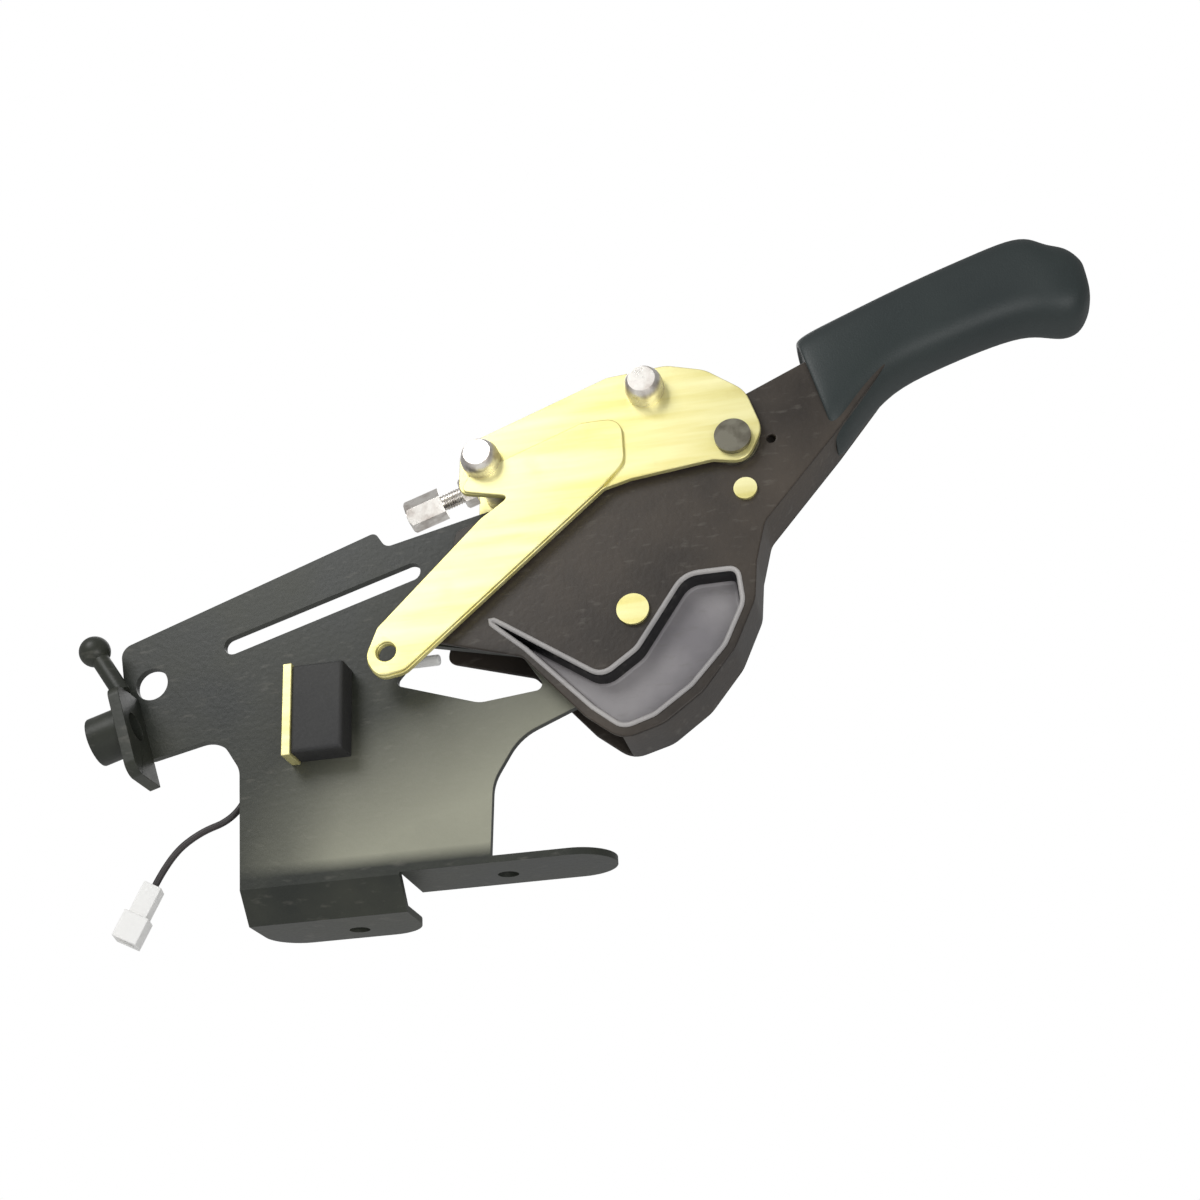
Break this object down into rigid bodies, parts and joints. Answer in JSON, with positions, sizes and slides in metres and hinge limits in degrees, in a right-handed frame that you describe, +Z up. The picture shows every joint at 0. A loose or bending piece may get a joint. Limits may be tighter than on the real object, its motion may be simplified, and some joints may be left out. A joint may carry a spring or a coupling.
{
  "type": "handbrake lever",
  "caption": "Pressed-steel parking brake lever on a floor bracket, with moulded grip, release button, ratchet, plated adjuster link and warning-lamp switch.",
  "frame": {"origin": "underside of the rear foot, midway through the plate's thickness and 18 mm in front of the foot's bolt hole", "axes": "+X towards the grip, +Z up out of the floor, +Y from the side shown in the picture to the far side"},
  "size_m": [0.4591, 0.0752, 0.2836],
  "materials": {
    "black_steel": "satin black paint",
    "zinc_yellow": "yellow passivated zinc plate",
    "dark_steel": "dark phosphated steel",
    "bright_steel": "bright zinc plate",
    "black_rubber": "matt moulded rubber",
    "grip_black": "grained moulding",
    "switch_black": "moulded",
    "plunger_white": "moulded",
    "lead_black": "insulated wire",
    "connector_white": "moulded nylon"
  },
  "bodies": {
    "bracket": {"bracket_plate": "black_steel", "cable_abutment": "black_steel", "cable_ferrule": "black_steel", "end_stud": "black_steel", "stop_clip": "zinc_yellow", "rubber_stop": "black_rubber", "ratchet_sector": "dark_steel", "sector_rivets": "dark_steel", "pivot_pin": "zinc_yellow", "pivot_bush_front": "dark_steel", "pivot_bush_rear": "dark_steel", "switch_body": "switch_black", "switch_lead": "lead_black", "lead_connector": "connector_white"},
    "lever": {"lever_channel": "black_steel", "grip": "grip_black", "pawl_pin": "zinc_yellow", "link_pin": "dark_steel", "link_washer_front": "dark_steel", "link_washer_rear": "dark_steel"},
    "button": {"release_button": "grip_black", "release_rod": "dark_steel"},
    "pawl": {"pawl": "dark_steel"},
    "link": {"link_arm": "zinc_yellow", "link_rear_cheek": "zinc_yellow", "trunnion_left": "bright_steel", "trunnion_right": "bright_steel", "trunnion_ring_left": "bright_steel", "trunnion_ring_right": "bright_steel", "adjuster_rod": "bright_steel", "adjuster_nut": "bright_steel", "lock_nut": "bright_steel", "adjuster_end_nut": "bright_steel"},
    "plunger": {"switch_plunger": "plunger_white"}
  },
  "joints": [
    {"name": "lever_pull", "type": "hinge", "parent": "bracket", "child": "lever", "pos_m": [0.065, 0, 0.1], "axis": [0, -1, 0], "range_deg": [0, 25]},
    {"name": "link_swing", "type": "hinge", "parent": "lever", "child": "link", "pos_m": [0.114, 0, 0.173], "axis": [0, -1, 0], "range_deg": [-22.5, 0]},
    {"name": "button_press", "type": "slide", "parent": "lever", "child": "button", "axis": [-0.9339, 0, -0.3576], "range_m": [0, 0.005], "stiffness_N_per_m": 800},
    {"name": "pawl_swing", "type": "hinge", "parent": "lever", "child": "pawl", "pos_m": [0.117, 0, 0.15], "axis": [0, -1, 0], "range_deg": [0, 8]},
    {"name": "switch_press", "type": "slide", "parent": "bracket", "child": "plunger", "axis": [-1, 0, 0], "range_m": [0, 0.003], "stiffness_N_per_m": 200}
  ],
  "couplings": [
    {"joint": "link_swing", "follows": "lever_pull", "ratio": -0.9},
    {"joint": "pawl_swing", "follows": "button_press", "rad_per_m": 27.367}
  ]
}
